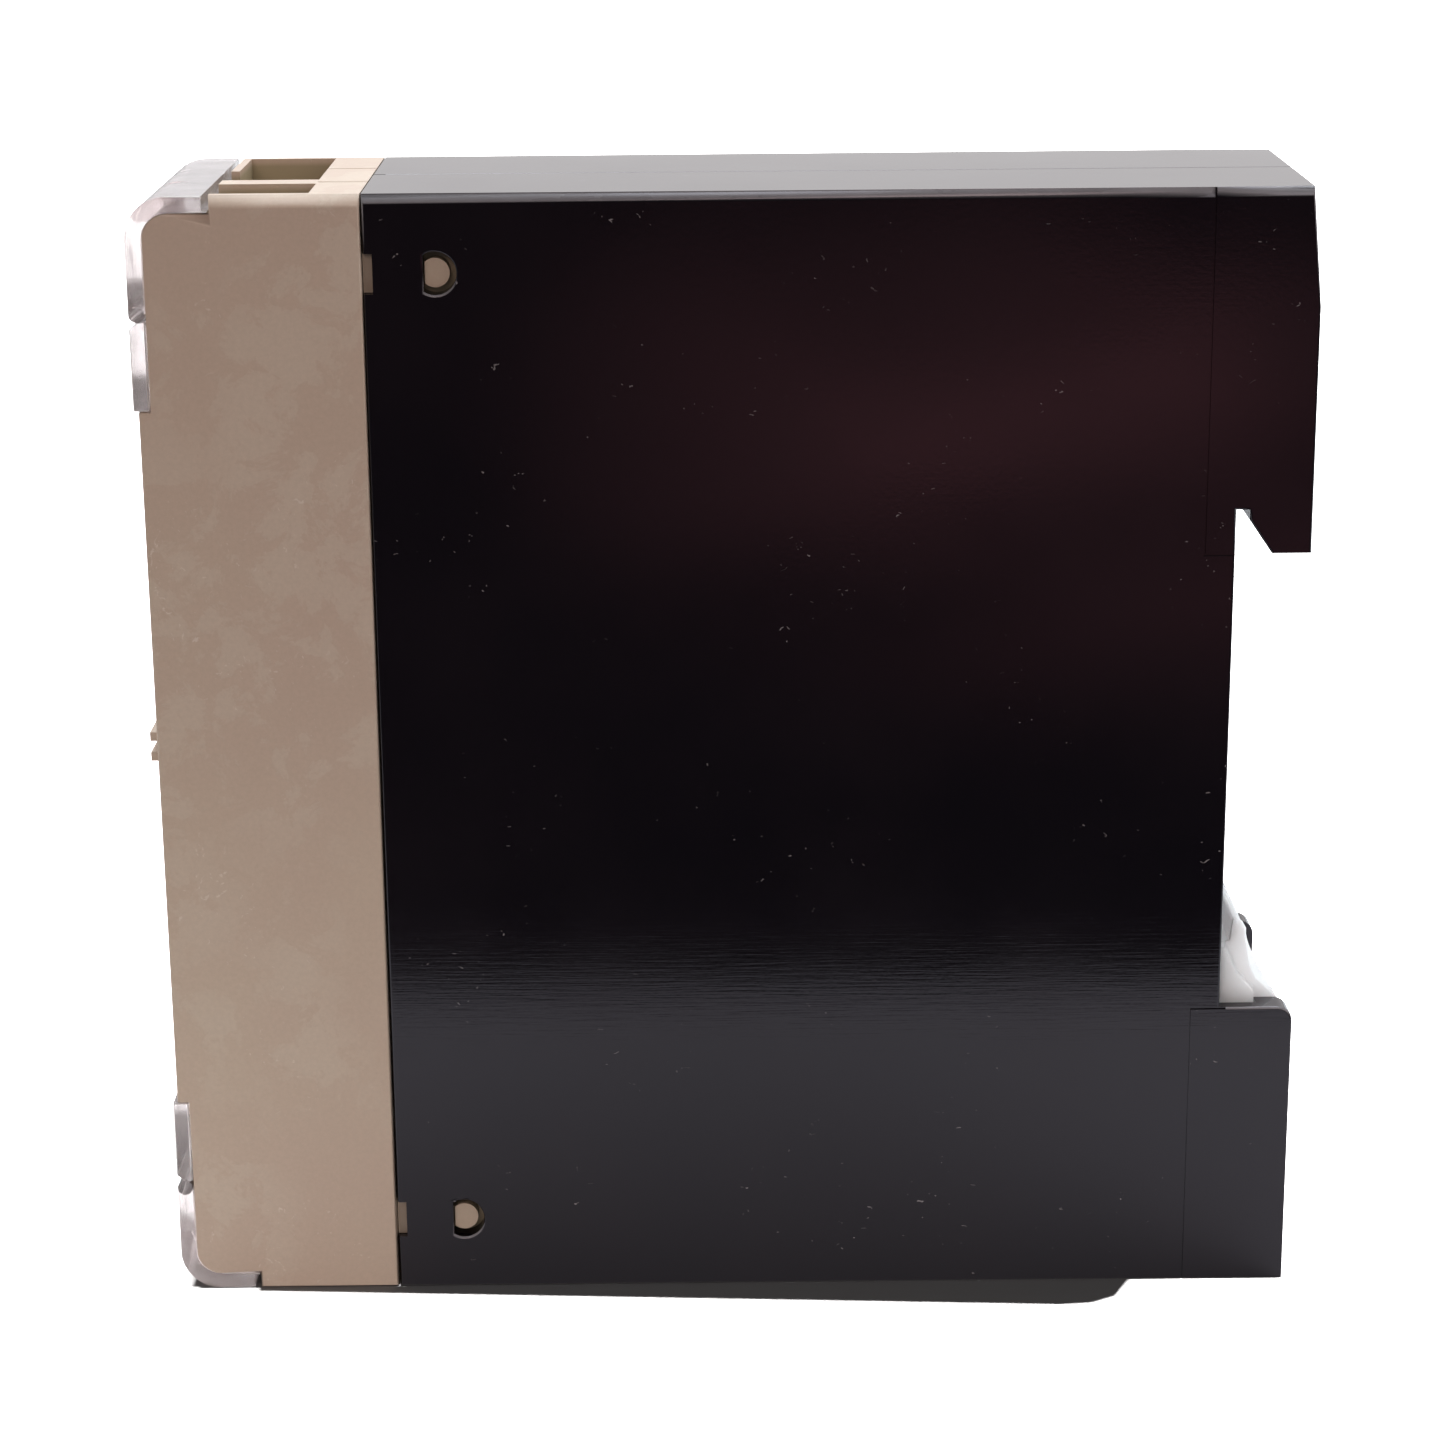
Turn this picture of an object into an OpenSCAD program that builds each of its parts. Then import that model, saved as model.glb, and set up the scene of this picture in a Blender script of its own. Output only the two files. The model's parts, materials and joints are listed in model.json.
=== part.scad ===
// Slim solid state relay that snaps onto a 35 mm mounting rail. It stands upright:
// X is the depth, with the terminals at -X and the rail at +X, Y is the width, Z is up.
// The origin is the centre of the base. Most modules work in the housing's own corner
// coordinates: x from the housing's front edge, y from the near side face, z from the base.

/* [Body] */
// Width across the two side faces
body_w = 22.5; // [22:0.5:30]
// Height from the base to the top face
body_h = 88; // [84:0.5:120]
// Depth of the housing from its front edge to its rear face
housing_d = 71.2; // [66:0.1:100]
// Depth of the terminal frame in front of the housing
frame_d = 17.2; // [17:0.1:21]
// Side wall of the half shells
shell_wall = 1.6; // [1.2:0.02:2]
// Top, bottom and rear walls of the half shells
end_wall = 2; // [1.6:0.1:2.6]
// Gap at the joint between the housing and the terminal frame
joint_gap = 0.1; // [0.05:0.05:0.3]
// Depth and width of the witness grooves on the side faces
witness = 0.15; // [0.1:0.05:0.3]

/* [Rail seat] */
// Height of the mounting rail
rail_h = 35; // [35:0.5:36]
// Thickness of the rail's flange
rail_t = 1; // [1:0.1:1.5]
// Depth of the recess that the rail sits in
recess_d = 5.8; // [5.6:0.1:7.2]
// Height of the lower block, where the clip comes out
block_h = 23.4; // [23:0.1:25]
// Height of the clip's seat, where the rail's lower edge rests
seat_z = 28.1; // [27.6:0.1:29]
// Play of the rail between the seat and the hook
rail_play = 0.5; // [0.3:0.1:1]
// How far the fixed hook laps over the rail's flange
hook_lap = 3.4; // [2.5:0.1:4.2]

/* [Rail clip] */
// How far the clip slides down to let the rail go
clip_travel = 3; // [2.5:0.1:3.2]
// Running clearance around the clip
clip_play = 0.15; // [0.1:0.05:0.2]
// Thickness of the housing wall beside the clip
clip_side = 2.3; // [2.1:0.1:2.8]
// Depth of the guide grooves in those walls
guide_d = 1.2; // [0.8:0.1:1.3]
// Mean radius of the spring's coil
spring_r = 1.6; // [1.3:0.05:1.6]
// Radius of the spring's wire
spring_wire_r = 0.25; // [0.2:0.05:0.3]
// Turns of the spring
spring_turns = 6; // [4:1:8]

/* [Terminals] */
// Number of terminals in each row
columns = 3; // [3:1:3]
// Width of a wire entry and of the compartment under it
window_w = 5.2; // [5:0.1:6.4]
// Length of a wire entry, from its rear edge towards the front
window_l = 8.6; // [8:0.1:9]
// Distance of a wire entry's rear edge from the housing
window_back = 3.9; // [3.7:0.1:4.4]
// Height of a terminal compartment
bay_h = 13.2; // [12:0.1:15]
// Distance of the screws from the top or base
screw_drop = 5.9; // [5.6:0.1:6.4]
// Radius of the screw heads
head_r = 2.1; // [1.8:0.05:2.3]
// Radius of the screw threads
thread_r = 1.4; // [1.2:0.05:1.6]
// Running clearance of the screws
screw_play = 0.05; // [0.02:0.01:0.1]
// How far a clamp cage travels
cage_travel = 3; // [2:0.1:3]
// Wall of the clamp cages
cage_wall = 0.6; // [0.5:0.05:0.8]

/* [Covers] */
// Thickness of the clear covers
cover_t = 1.25; // [1:0.05:1.4]
// How far the covers stand proud of the frame
cover_proud = 0.3; // [0.1:0.05:0.4]
// Height of a cover on the front face
cover_h = 16.2; // [15:0.1:17]
// Length of a cover's leg on the top or base
cover_leg = 6.1; // [5.5:0.1:6.4]
// Outer radius of a cover's corner
cover_r = 3.2; // [2.5:0.1:4]
// Distance of the film hinge from the top or base
hinge_drop = 8.8; // [8.6:0.1:9.4]
// Gap around the covers
cover_gap = 0.08; // [0.05:0.01:0.15]

/* [Electronics] */
// Distance of the circuit board from the near side face
board_y = 8; // [7.6:0.1:8.2]
// Thickness of the circuit board
board_t = 1.6; // [1.2:0.1:1.8]
// Clear margin between the board's edges and the walls
board_margin = 3; // [2.5:0.1:4]
// Thickness of the aluminium heat spreader
spreader_t = 2; // [1.5:0.1:2.4]
// Thickness of the thermal pads
pad_t = 0.3; // [0.2:0.05:0.5]

/* [Hidden] */
// Small step that keeps cuts from ending on a face
eps = 0.5;
// Facets of a rounded outline's quarter turn
arc_steps = 8;
rib_proud = 0.6;
front_proud = max(rib_proud, cover_proud);
total_d = front_proud + frame_d + housing_d;
seam_x = front_proud + frame_d - total_d / 2;
mid_y = body_w / 2;
recess_x = housing_d - recess_d;
notch_z = seat_z + rail_h + rail_play;
hook_z = notch_z - hook_lap;
hook_wall_x = recess_x + rail_t + 0.05;
hook_wall_h = 0.8;
hook_slant = 1.75;
block_r = 1.2;
lean_h = 9;
lean = 0.8;
witness_x = recess_x - 2.4;
// Housing interior
cavity_x = recess_x - end_wall;
pocket_z = notch_z + 2.4;
// Snap fits between the frame's tongues and the shells
snap_x = 5.3;
snap_flat = 0.85;
snap_drop = 5.9;
snap_hole_r = 1.6;
snap_peg_r = 1.1;
tongue_l = 8.3;
tongue_t = 1;
tongue_h = 6;
tongue_y = shell_wall + 0.15;
latch_w = 0.7;
latch_h = 3;
latch_d = 0.9;
// Frame
wall_x = -frame_d + cover_t - cover_proud;
bay_front_x = wall_x + 1.6;
frame_wall = 1.6;
front_x = -frame_d;
pitch = body_w / columns;
bay_gap = (pitch - window_w) / 2;
side_wall = bay_gap + 0.25;
bay_floor = 2;
bay_roof = 2.8;
roof_z = body_h - bay_roof;
step_z = body_h - cover_h;
leg_x = wall_x + cover_leg - 1.1;
roof_lip_z = body_h - cover_t - cover_gap;
inner_r = cover_r - cover_t;
far_post = 1.9;
low_divider = 1.8;
strip_peg_r = 0.8;
strip_peg_z = step_z + 3.4;
plate_z = 19;
plate_h = 22;
plate_w = 15;
plate_t = 0.5;
plate_sink = 0.35;
rib_h = 0.7;
lip_end_z = 22;
lip_t = 0.8;
// Terminals
screw_z = body_h - screw_drop;
head_t = 1.2;
head_x = bay_front_x + 0.2;
shank_x = head_x + head_t;
bus_t = 0.8;
cage_front_t = 1.2;
cage_h = 5.2;
cage_x = shank_x + 0.3 + cage_travel;
bus_x = cage_x + cage_front_t + 0.4;
cage_rear_t = 1;
wire_gap = 3.6;
cage_l = bus_x + bus_t + wire_gap + cage_rear_t - cage_x;
cage_w = window_w - 0.3;
bus_w = 3.2;
tail_z = body_h - cover_h + 1.4;
// Covers
hinge_r = cover_t / 2 - 0.02;
hinge_x = wall_x - cover_gap - cover_t / 2;
hinge_z = body_h - hinge_drop;
hinge_gap = 0.08;
cover_in_x = wall_x - cover_gap;
cover_out_x = cover_in_x - cover_t;
cover_top_z = body_h - 0.05;
cover_side = 0.06;
// Clip
clip_x = recess_x + clip_play;
clip_rear_x = housing_d - 0.6;
clip_base_z = clip_travel + 0.3;
clip_lip_x = recess_x + rail_t + 0.1;
clip_y = clip_side + clip_play;
ear_y = clip_side - guide_d + clip_play;
ear_x = recess_x + 2.9;
scoop = 0.9;
shelf_z = 6.3;
shelf_t = 2;
shelf_w = 5.1;
slot_w = 6;
slot_top = 20;
spring_x = recess_x + 0.25 + spring_r + spring_wire_r;
// Board and what it carries
board_x = 1;
board_l = cavity_x - board_x - board_margin;
board_z = end_wall + board_margin;
board_h = body_h - 2 * board_z;
far_y = board_y + board_t;
far_wall_y = body_w - shell_wall;
post_r = 2.5;
post_pin_r = 1;
post_in = 9;
post_up = 9;
lamp_z = board_z + 55;
lamp_y = board_y + board_t / 2;
pipe_r = 1.7;
spreader_z = 20;
spreader_h = 50;
spreader_x = 12;
spreader_l = 38;
spreader_y = far_wall_y - spreader_t;
device_w = 10.2;
device_t = 4.4;
device_xs = [22, 40];
device_z = 39;
device_h = 9;
tab_h = 6.5;
tab_t = 1.3;
tab_hole_r = 1.8;
device_screw_r = 1.475;
tab_hole_z = device_z + device_h + 3.4;
tab_back_y = spreader_y - pad_t;

// Places the housing's corner coordinates in the part's own frame
module placed() translate([seam_x, -mid_y, 0]) children();

// The lower terminals and cover mirror the upper ones about mid height
module low() translate([0, 0, body_h]) mirror([0, 0, 1]) children();

// The far half mirrors the near half about mid width
module far_side() translate([0, body_w, 0]) mirror([0, 1, 0]) children();

// Extrudes an outline drawn in x and z along y
module along_y(from, to) translate([0, to, 0]) rotate([90, 0, 0]) linear_extrude(to - from) children();

// A box between two opposite corners
module span(low_corner, high_corner) translate(low_corner) cube(high_corner - low_corner);

// A cylinder along x
module rod_x(x0, x1, y, z, r) translate([x0, y, z]) rotate([0, 90, 0]) cylinder(h = x1 - x0, r = r, $fn = 32);

// A cylinder along y
module rod_y(y0, y1, x, z, r) translate([x, y1, z]) rotate([90, 0, 0]) cylinder(h = y1 - y0, r = r, $fn = 32);

function arc(cx, cz, r, from, to) =
  [for (i = [0:arc_steps]) let (a = from + (to - from) * i / arc_steps) [cx + r * cos(a), cz + r * sin(a)]];
function column_y(i) = pitch * (i - 0.5);

// ---- Housing ----

module housing_outline() {
  polygon(concat(
    [[0, 0], [housing_d, 0]],
    arc(housing_d - block_r, block_h - block_r, block_r, 0, 90),
    [[recess_x, block_h], [recess_x, notch_z], [hook_wall_x, notch_z],
     [hook_wall_x, notch_z - hook_wall_h], [hook_wall_x + hook_slant, hook_z],
     [housing_d, hook_z], [housing_d, body_h - lean_h], [housing_d - lean, body_h], [0, body_h]]
  ));
}

module cavity_outline() {
  polygon([
    [-eps, end_wall], [cavity_x, end_wall], [cavity_x, pocket_z], [housing_d - end_wall, pocket_z],
    [housing_d - end_wall, body_h - end_wall], [-eps, body_h - end_wall]
  ]);
}

module snap_outline(r, flat) {
  intersection() {
    translate([snap_x, body_h - snap_drop]) circle(r, $fn = 32);
    translate([snap_x - flat, body_h - snap_drop - r]) square(2 * r);
  }
}

module witness_grooves() {
  span([witness_x, -eps, hook_z], [witness_x + witness, witness, body_h + eps]);
  span([witness_x, -eps, hook_z - witness], [housing_d + eps, witness, hook_z + 0.05]);
  span([witness_x, -eps, -eps], [witness_x + witness, witness, block_h]);
  span([witness_x, -eps, block_h - witness], [recess_x + eps, witness, block_h]);
}

module clip_channel() {
  span([recess_x, clip_side, -eps], [housing_d + eps, mid_y + eps, block_h + eps]);
  span([recess_x - 0.01, clip_side - guide_d, -eps], [ear_x + clip_play, clip_side + eps, block_h + eps]);
}

module snap_hole() along_y(-eps, shell_wall + eps) snap_outline(snap_hole_r, snap_flat);

module latch_notch() {
  latch_z = body_h - snap_drop - latch_h / 2;
  span([-eps, -eps, latch_z], [latch_w, latch_d, latch_z + latch_h]);
}

module post_places() {
  for (x = [board_x + post_in, board_x + board_l - post_in])
    for (z = [board_z + post_up, board_z + board_h - post_up])
      translate([x, 0, z]) children();
}

// One half shell without its posts
module half_shell() {
  difference() {
    along_y(0, mid_y) housing_outline();
    along_y(shell_wall, mid_y + eps) cavity_outline();
    clip_channel();
    witness_grooves();
    snap_hole();
    low() snap_hole();
    latch_notch();
    low() latch_notch();
  }
  span([recess_x - 1, mid_y - shelf_w / 2, shelf_z], [recess_x + 3.8, mid_y, shelf_z + shelf_t]);
}

module housing_shell_near() color("#17121a") placed() {
  half_shell();
  post_places() {
    rod_y(shell_wall - 0.1, board_y, 0, 0, post_r);
    rod_y(board_y - 0.1, far_y + 2.6, 0, 0, post_pin_r);
  }
}

module housing_shell_far() color("#17121a") placed() {
  far_side() half_shell();
  post_places() difference() {
    rod_y(far_y, far_wall_y + 0.1, 0, 0, post_r);
    rod_y(far_y - eps, far_y + 3, 0, 0, post_pin_r + 0.05);
  }
}

// ---- Terminal frame ----

module frame_outline() {
  polygon(concat(
    [[-joint_gap, 0], [leg_x, 0], [leg_x, body_h - roof_lip_z]],
    arc(wall_x + inner_r, body_h - roof_lip_z + inner_r, inner_r, 270, 180),
    [[wall_x, cover_h], [front_x, cover_h], [front_x, step_z], [wall_x, step_z]],
    arc(wall_x + inner_r, roof_lip_z - inner_r, inner_r, 180, 90),
    [[leg_x, roof_lip_z], [leg_x, body_h], [-joint_gap, body_h]]
  ));
}

// The compartment, wire entry and screwdriver hole of one upper terminal
module terminal_bay(i) {
  y = column_y(i);
  front = i == columns ? far_post : 0;
  span([bay_front_x, y - window_w / 2, roof_z - bay_h], [eps, y + window_w / 2, roof_z]);
  span([-window_back - window_l + front, y - window_w / 2, roof_z - eps],
       [-window_back, y + window_w / 2, body_h + eps]);
  rod_x(wall_x - eps, bay_front_x + eps, y, screw_z, head_r - 0.3);
}

module column_groove(i) {
  y = pitch * i;
  span([-window_back, y - witness / 2, body_h - witness], [eps, y + witness / 2, body_h + eps]);
}

// The divider between the last two wire entries stands lower than the others
module divider_gap() {
  y = pitch * (columns - 1);
  span([-window_back - window_l + far_post, y - bay_gap - eps, body_h - low_divider],
       [-window_back, y + bay_gap + eps, body_h + eps]);
}

module strip_peg_holes() {
  for (i = [1:columns - 1])
    rod_x(wall_x - eps, bay_front_x + eps, pitch * i, strip_peg_z, strip_peg_r + screw_play);
}

module snap_tongue() {
  z = body_h - snap_drop - tongue_h / 2;
  span([-2.6, bay_gap - 0.1, z], [-joint_gap, tongue_y + tongue_t, z + tongue_h]);
  span([-1, tongue_y, z], [tongue_l, tongue_y + tongue_t, z + tongue_h]);
  along_y(tongue_y - 1.2, tongue_y + 0.1) snap_outline(snap_peg_r, snap_flat - 0.1);
}

module side_lip() {
  span([-1.6, side_wall - 0.05, lip_end_z], [-joint_gap, tongue_y + lip_t, body_h - lip_end_z]);
  span([-1, tongue_y, lip_end_z], [1.4, tongue_y + lip_t, body_h - lip_end_z]);
}

module half_frame_cuts() {
  for (i = [1:columns]) terminal_bay(i);
  for (i = [1:columns - 1]) column_groove(i);
  divider_gap();
  strip_peg_holes();
}

module front_frame() color("#b3a293") placed() {
  difference() {
    along_y(0, body_w) frame_outline();
    half_frame_cuts();
    low() half_frame_cuts();
    span([front_x + frame_wall, side_wall, cover_h + bay_floor],
         [eps, body_w - side_wall, body_h - cover_h - bay_floor]);
    span([front_x - eps, mid_y - plate_w / 2, plate_z],
         [front_x + plate_sink, mid_y + plate_w / 2, plate_z + plate_h]);
    rod_x(front_x - eps, front_x + frame_wall + eps, lamp_y, lamp_z, pipe_r + screw_play);
  }
  for (z = [body_h / 2 + 0.4, body_h / 2 + 2])
    span([front_x - rib_proud, 0.6, z], [front_x + 0.2, body_w - 0.6, z + rib_h]);
  snap_tongue();
  low() snap_tongue();
  side_lip();
  far_side() {
    snap_tongue();
    low() snap_tongue();
    side_lip();
  }
}

module name_plate() color("#e8e4da") placed() {
  fit = 0.1;
  span([front_x + plate_sink - plate_t, mid_y - plate_w / 2 + fit, plate_z + fit],
       [front_x + plate_sink, mid_y + plate_w / 2 - fit, plate_z + plate_h - fit]);
}

// ---- Clear covers ----

// Fixed strip below the film hinge
module cover_strip() {
  cup_z = hinge_z - hinge_r - hinge_gap;
  along_y(cover_side, body_w - cover_side) difference() {
    translate([cover_out_x, step_z + cover_gap]) square([cover_t, hinge_z - step_z - cover_gap]);
    translate([hinge_x, hinge_z]) circle(hinge_r + hinge_gap, $fn = 32);
    polygon([[hinge_x, hinge_z + eps], [hinge_x, cup_z],
             [cover_out_x - eps, cup_z - 0.75], [cover_out_x - eps, hinge_z + eps]]);
    translate([hinge_x, hinge_z - hinge_r]) square([cover_t, 2 * hinge_r + eps]);
  }
  for (i = [1:columns - 1])
    rod_x(wall_x - cover_t / 2, wall_x + 1.3, pitch * i, strip_peg_z, strip_peg_r);
}

// Hinged flap that wraps the corner of the frame
module cover_flap() {
  under_z = roof_lip_z + cover_gap / 2;
  end_x = leg_x - cover_gap;
  along_y(cover_side, body_w - cover_side) {
    translate([hinge_x, hinge_z]) circle(hinge_r, $fn = 32);
    polygon(concat(
      [[hinge_x + hinge_r, hinge_z], [hinge_x - hinge_r, hinge_z]],
      arc(cover_out_x + cover_r, cover_top_z - cover_r, cover_r, 180, 90),
      [[end_x, cover_top_z], [end_x, under_z]],
      arc(cover_in_x + inner_r, under_z - inner_r, inner_r, 90, 180)
    ));
  }
}

module upper_cover_strip() color("#e6e0e2", 0.5) placed() cover_strip();
module upper_cover_flap() color("#efe9ec", 0.5) placed() cover_flap();
module lower_cover_strip() color("#e6e0e2", 0.5) placed() low() cover_strip();
module lower_cover_flap() color("#efe9ec", 0.5) placed() low() cover_flap();

// ---- Rail clip ----

module clip_outline() {
  polygon([
    [clip_x, clip_base_z], [clip_rear_x, clip_base_z], [clip_rear_x, block_h - 0.6],
    [clip_rear_x - 0.4, block_h + 0.1], [clip_rear_x - 2, block_h + 1.5], [clip_rear_x - 2.5, block_h + 2.6],
    [clip_rear_x - 2.9, seat_z], [clip_rear_x - 3, seat_z + 1], [clip_rear_x - 3.8, seat_z + 1.9],
    [clip_lip_x, seat_z + 1.9], [clip_lip_x, seat_z], [clip_x, seat_z]
  ]);
}

module ear_outline() {
  polygon([
    [clip_x, clip_base_z + 2], [ear_x, clip_base_z + 2], [ear_x, block_h + 0.9],
    [ear_x - 1.4, block_h + 2.4], [clip_x + 0.4, seat_z - 0.1], [clip_x, seat_z - 0.1]
  ]);
}

module rail_clip() color("#f2f0ee") placed() {
  scoop_r = (pow(mid_y - clip_y, 2) + scoop * scoop) / (2 * scoop);
  notch_depth = 1.2;
  clip_skin = 0.9;
  difference() {
    union() {
      along_y(clip_y, body_w - clip_y) clip_outline();
      along_y(ear_y, body_w - ear_y) ear_outline();
    }
    span([clip_x - eps, mid_y - slot_w / 2, shelf_z - 0.2],
         [clip_rear_x - clip_skin, mid_y + slot_w / 2, slot_top]);
    translate([clip_rear_x - scoop + scoop_r, mid_y, block_h - 6]) cylinder(h = 8, r = scoop_r, $fn = 128);
    span([clip_rear_x - notch_depth, mid_y - 2.6, clip_base_z + 0.8],
         [clip_rear_x + eps, mid_y + 2.6, clip_base_z + 2.2]);
  }
}

// A coil swept from a ring of points along a helix
module coil(r, wire_r, turns, h) {
  sides = 8;
  rings = turns * 12;
  points = [for (i = [0:rings], j = [0:sides - 1])
    let (a = 360 * turns * i / rings, b = 360 * j / sides, q = r + wire_r * cos(b))
    [q * cos(a), q * sin(a), h * i / rings + wire_r * sin(b)]];
  skin = [for (i = [0:rings - 1], j = [0:sides - 1])
    let (k = (j + 1) % sides)
    [i * sides + j, (i + 1) * sides + j, (i + 1) * sides + k, i * sides + k]];
  ends = [[for (j = [0:sides - 1]) j], [for (j = [sides - 1:-1:0]) rings * sides + j]];
  polyhedron(points, concat(skin, ends), convexity = 10);
}

module clip_spring() color("#b9bcc0") placed() {
  low_z = shelf_z + shelf_t + spring_wire_r + 0.02;
  high_z = slot_top - spring_wire_r - 0.02;
  translate([spring_x, mid_y, low_z]) coil(spring_r, spring_wire_r, spring_turns, high_z - low_z);
}

// ---- Terminals ----

module terminal_screw(i) {
  y = column_y(i);
  slot = 0.7;
  slot_reach = head_r - 0.5;
  slot_end = head_x + 0.7;
  difference() {
    union() {
      rod_x(head_x, shank_x, y, screw_z, head_r);
      rod_x(shank_x - 0.1, bus_x - 0.05, y, screw_z, thread_r);
    }
    span([head_x - eps, y - slot / 2, screw_z - slot_reach], [slot_end, y + slot / 2, screw_z + slot_reach]);
    span([head_x - eps, y - slot_reach, screw_z - slot / 2], [slot_end, y + slot_reach, screw_z + slot / 2]);
  }
}

module clamp_cage(i) {
  y = column_y(i);
  low_z = screw_z - cage_h / 2;
  difference() {
    span([cage_x, y - cage_w / 2, low_z], [cage_x + cage_l, y + cage_w / 2, low_z + cage_h]);
    span([cage_x + cage_front_t, y - cage_w / 2 + cage_wall, low_z - eps],
         [cage_x + cage_l - cage_rear_t, y + cage_w / 2 - cage_wall, low_z + cage_h + eps]);
    rod_x(cage_x - eps, cage_x + cage_front_t + eps, y, screw_z, thread_r + screw_play);
  }
}

// The near terminal's bar meets the board's near face, the others its far face
module busbar(i) {
  y = column_y(i);
  cross_x = i == columns ? 4 : 1.2;
  cross_l = 1.8;
  plate_top = screw_z + cage_h / 2 + 0.4;
  span([bus_x, y - bus_w / 2, tail_z], [bus_x + bus_t, y + bus_w / 2, plate_top]);
  span([bus_x, y - bus_w / 2, tail_z], [cross_x + cross_l, y + bus_w / 2, tail_z + bus_t]);
  if (y < board_y)
    span([cross_x, y, tail_z], [cross_x + cross_l, board_y, tail_z + bus_t]);
  else
    span([cross_x, far_y, tail_z], [cross_x + cross_l, y, tail_z + bus_t]);
}

module upper_busbars() color("#c9a45c") placed() for (i = [1:columns]) busbar(i);
module lower_busbars() color("#c9a45c") placed() low() for (i = [1:columns]) busbar(i);
module upper_screw(i) color("#c6c8cc") placed() terminal_screw(i);
module lower_screw(i) color("#c6c8cc") placed() low() terminal_screw(i);
module upper_cage(i) color("#d8c48a") placed() clamp_cage(i);
module lower_cage(i) color("#d8c48a") placed() low() clamp_cage(i);

// ---- Indicator ----

module light_pipe() color("#9fe0a0") placed() {
  flange = 1;
  rod_x(front_x - 0.2, -3.4, lamp_y, lamp_z, pipe_r);
  rod_x(front_x + frame_wall, front_x + frame_wall + flange, lamp_y, lamp_z, pipe_r + 0.8);
}

module status_led() color("#58c060") placed() {
  rod_x(-3.2, 0.4, lamp_y, lamp_z, 1.45);
  rod_x(-0.6, 0.4, lamp_y, lamp_z, 1.8);
  for (z = [lamp_z - 0.9, lamp_z + 0.6])
    span([0, board_y - 0.4, z], [3.4, board_y, z + 0.3]);
}

// ---- Board and components ----

module main_board() color("#2f6b3c") placed() difference() {
  span([board_x, board_y, board_z], [board_x + board_l, far_y, board_z + board_h]);
  post_places() rod_y(board_y - eps, far_y + eps, 0, 0, post_pin_r + 0.05);
}

module heat_spreader() color("#b8bcc2") placed() difference() {
  span([spreader_x, spreader_y, spreader_z], [spreader_x + spreader_l, far_wall_y, spreader_z + spreader_h]);
  for (x = device_xs) rod_y(spreader_y - eps, far_wall_y + eps, x, tab_hole_z, device_screw_r + screw_play);
}

module thermal_pads() color("#8f97a6") placed() for (x = device_xs) difference() {
  span([x - device_w / 2 - 0.8, tab_back_y, device_z - 0.8],
       [x + device_w / 2 + 0.8, spreader_y, device_z + device_h + tab_h + 0.8]);
  rod_y(tab_back_y - eps, spreader_y + eps, x, tab_hole_z, tab_hole_r);
}

module power_thyristors() color("#23252a") placed() for (x = device_xs) {
  lead = 0.8;
  lead_pitch = 2.54;
  lead_y = tab_back_y - 2.7;
  difference() {
    union() {
      span([x - device_w / 2, tab_back_y - device_t, device_z],
           [x + device_w / 2, tab_back_y, device_z + device_h]);
      span([x - device_w / 2, tab_back_y - tab_t, device_z],
           [x + device_w / 2, tab_back_y, device_z + device_h + tab_h]);
    }
    rod_y(tab_back_y - device_t - eps, tab_back_y + eps, x, tab_hole_z, tab_hole_r);
  }
  for (k = [-1:1]) {
    span([x + k * lead_pitch - lead / 2, lead_y - lead / 2, device_z - 5],
         [x + k * lead_pitch + lead / 2, lead_y + lead / 2, device_z + 0.2]);
    span([x + k * lead_pitch - lead / 2, far_y, device_z - 5],
         [x + k * lead_pitch + lead / 2, lead_y + lead / 2, device_z - 5 + lead]);
  }
}

module thyristor_screws() color("#c6c8cc") placed() for (x = device_xs) {
  screw_head_r = 2.7;
  screw_head_t = 2;
  front_y = tab_back_y - tab_t;
  difference() {
    rod_y(front_y - screw_head_t, front_y, x, tab_hole_z, screw_head_r);
    span([x - 0.4, front_y - screw_head_t - eps, tab_hole_z - 1.6], [x + 0.4, front_y - 1, tab_hole_z + 1.6]);
    span([x - 1.6, front_y - screw_head_t - eps, tab_hole_z - 0.4], [x + 1.6, front_y - 1, tab_hole_z + 0.4]);
  }
  rod_y(front_y - 0.1, far_wall_y - 0.1, x, tab_hole_z, device_screw_r);
}

// A dual in-line package on the near face of the board
module dip_package(x, z, l, pins) {
  body = 6.4;
  body_t = 3.4;
  leg = 0.5;
  stand = 0.5;
  span([x - body / 2, board_y - stand - body_t, z - l / 2], [x + body / 2, board_y - stand, z + l / 2]);
  for (k = [0:pins - 1], s = [-1, 1]) {
    leg_z = z + (k - (pins - 1) / 2) * 2.54;
    leg_x0 = x + s * (body / 2 + 0.3);
    span([leg_x0 - leg / 2, board_y - 2.4, leg_z - leg / 2], [leg_x0 + leg / 2, board_y, leg_z + leg / 2]);
    span([min(x + s * 2, leg_x0 + s * 0.2), board_y - 2.4, leg_z - leg / 2],
         [max(x + s * 2, leg_x0 + s * 0.2), board_y - 1.9, leg_z + leg / 2]);
  }
}

module opto_driver() color("#2a2a2e") placed() dip_package(22, board_z + 52, 8.6, 3);
module input_rectifier() color("#2a2a2e") placed() dip_package(20, board_z + 18, 6.2, 2);

// A wire-ended resistor that stands off the near face of the board, its axis along z
module axial_resistor(x, z, r, l) {
  wire = 0.35;
  y = board_y - r - 0.3;
  end = l / 2 + 2.2;
  translate([x, y, z - l / 2]) cylinder(h = l, r = r, $fn = 32);
  for (s = [-1, 1]) translate([x, y, z + s * l / 2]) sphere(r * 0.98, $fn = 32);
  translate([x, y, z - end]) cylinder(h = 2 * end, r = wire, $fn = 16);
  for (s = [-1, 1]) rod_y(y, board_y, x, z + s * (end - wire), wire);
}

module input_resistors() color("#3a6ea5") placed()
  for (x = [32, 38]) axial_resistor(x, board_z + 20, 1.6, 6.5);
module snubber_resistor() color("#8c8f6a") placed() axial_resistor(44, board_z + 52, 2.4, 10);

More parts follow.
